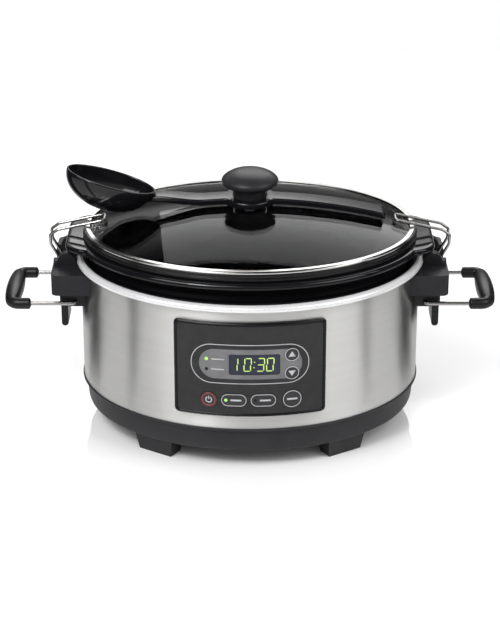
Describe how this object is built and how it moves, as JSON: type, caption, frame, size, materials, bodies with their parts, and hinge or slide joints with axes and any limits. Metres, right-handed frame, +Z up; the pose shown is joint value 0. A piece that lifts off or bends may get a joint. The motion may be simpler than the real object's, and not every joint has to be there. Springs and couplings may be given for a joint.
{
  "type": "slow cooker",
  "caption": "Oval countertop slow cooker with digital panel, lift-out crock, clip-down glass lid, swing-out carry handles and a dipper stored on the lid knob.",
  "frame": {"origin": "on the floor, under the middle of the cooker", "axes": "+X along the long side towards the right handle, +Y towards the back, +Z up; panel faces -Y"},
  "size_m": [0.4234, 0.2516, 0.2249],
  "materials": {
    "base_plastic": "satin black moulded",
    "steel_wrap": "vertically brushed",
    "rim_chrome": "bright rolled rim",
    "well_metal": "dark coated sheet",
    "heater": "mill",
    "electric": "moulded",
    "board": "lacquered board",
    "fastener": "zinc plated",
    "panel_bezel": "gloss black",
    "panel_plate": "dark grey printed plate",
    "window": "tinted window",
    "led": "lit green",
    "key_black": "dark key",
    "crock_glaze": "gloss black glaze",
    "lid_glass": "clear tempered",
    "lid_band": "polished band",
    "gasket": "black seal",
    "knob_plastic": "satin black",
    "dipper_nylon": "gloss black",
    "bracket_plastic": "satin black moulded",
    "wire_steel": "bright wire",
    "grip_plastic": "satin black",
    "lever_plastic": "satin black"
  },
  "bodies": {
    "cooker": {"base_pan": "base_plastic", "feet": "base_plastic", "base_screws": "fastener", "centre_stud": "fastener", "centre_nut": "fastener", "cord_gland": "base_plastic", "shell_wrap": "steel_wrap", "top_rim": "rim_chrome", "heating_well": "well_metal", "heater_band": "heater", "thermostat": "electric", "thermal_fuse": "electric", "power_board": "board", "relay": "electric", "panel_bezel": "panel_bezel", "panel_plate": "panel_plate", "display_window": "window", "display_module": "electric", "indicator_leds": "led", "key_switches": "electric", "control_board": "board", "board_screws": "fastener", "right_bracket": "bracket_plastic", "left_bracket": "bracket_plastic", "bracket_screws": "fastener", "right_pivot_pin": "fastener", "left_pivot_pin": "fastener"},
    "crock": {"crock": "crock_glaze"},
    "lid": {"lid_glass": "lid_glass", "lid_band": "lid_band", "lid_gasket": "gasket", "knob": "knob_plastic", "knob_screw": "fastener"},
    "dipper": {"dipper": "dipper_nylon"},
    "right_clip": {"right_clip_wire": "wire_steel"},
    "right_lever": {"right_lever": "lever_plastic"},
    "right_handle": {"right_handle_wire": "wire_steel", "right_grip": "grip_plastic"},
    "left_clip": {"left_clip_wire": "wire_steel"},
    "left_lever": {"left_lever": "lever_plastic"},
    "left_handle": {"left_handle_wire": "wire_steel", "left_grip": "grip_plastic"},
    "key_up": {"key_up": "key_black"},
    "key_down": {"key_down": "key_black"},
    "key_power": {"key_power": "key_black"},
    "key_program": {"key_program": "key_black"},
    "key_manual": {"key_manual": "key_black"},
    "key_enter": {"key_enter": "key_black"}
  },
  "joints": [
    {"name": "lid_lift", "type": "slide", "parent": "cooker", "child": "lid", "axis": [0, 0, 1], "range_m": [0, 0.042]},
    {"name": "crock_lift", "type": "slide", "parent": "cooker", "child": "crock", "axis": [0, 0, 1], "range_m": [0, 0.019]},
    {"name": "dipper_slide", "type": "slide", "parent": "lid", "child": "dipper", "axis": [0, -1, 0], "range_m": [0, 0.11]},
    {"name": "right_clip_swing", "type": "hinge", "parent": "cooker", "child": "right_clip", "pos_m": [0.1605, 0, 0.1425], "axis": [0, 1, 0], "range_deg": [0, 87]},
    {"name": "right_lever_swing", "type": "hinge", "parent": "cooker", "child": "right_lever", "pos_m": [0.1605, 0, 0.1425], "axis": [0, -1, 0], "range_deg": [0, 32]},
    {"name": "right_handle_swing", "type": "hinge", "parent": "cooker", "child": "right_handle", "pos_m": [0.15, 0, 0.114], "axis": [0, -1, 0], "range_deg": [-80, 20]},
    {"name": "left_clip_swing", "type": "hinge", "parent": "cooker", "child": "left_clip", "pos_m": [-0.1605, 0, 0.1425], "axis": [0, -1, 0], "range_deg": [0, 87]},
    {"name": "left_lever_swing", "type": "hinge", "parent": "cooker", "child": "left_lever", "pos_m": [-0.1605, 0, 0.1425], "axis": [0, 1, 0], "range_deg": [0, 32]},
    {"name": "left_handle_swing", "type": "hinge", "parent": "cooker", "child": "left_handle", "pos_m": [-0.15, 0, 0.114], "axis": [0, 1, 0], "range_deg": [-80, 20]},
    {"name": "key_up_press", "type": "slide", "parent": "cooker", "child": "key_up", "axis": [0, 1, 0], "range_m": [0, 0.0008], "stiffness_N_per_m": 600, "springref_m": -0.001},
    {"name": "key_down_press", "type": "slide", "parent": "cooker", "child": "key_down", "axis": [0, 1, 0], "range_m": [0, 0.0008], "stiffness_N_per_m": 600, "springref_m": -0.001},
    {"name": "key_power_press", "type": "slide", "parent": "cooker", "child": "key_power", "axis": [0, 1, 0], "range_m": [0, 0.0008], "stiffness_N_per_m": 600, "springref_m": -0.001},
    {"name": "key_program_press", "type": "slide", "parent": "cooker", "child": "key_program", "axis": [0, 1, 0], "range_m": [0, 0.0008], "stiffness_N_per_m": 600, "springref_m": -0.001},
    {"name": "key_manual_press", "type": "slide", "parent": "cooker", "child": "key_manual", "axis": [0, 1, 0], "range_m": [0, 0.0008], "stiffness_N_per_m": 600, "springref_m": -0.001},
    {"name": "key_enter_press", "type": "slide", "parent": "cooker", "child": "key_enter", "axis": [0, 1, 0], "range_m": [0, 0.0008], "stiffness_N_per_m": 600, "springref_m": -0.001}
  ],
  "couplings": [
    {"joint": "crock_lift", "follows": "lid_lift", "ratio": 0.45},
    {"joint": "right_clip_swing", "follows": "lid_lift", "rad_per_m": 36},
    {"joint": "left_clip_swing", "follows": "lid_lift", "rad_per_m": 36}
  ]
}
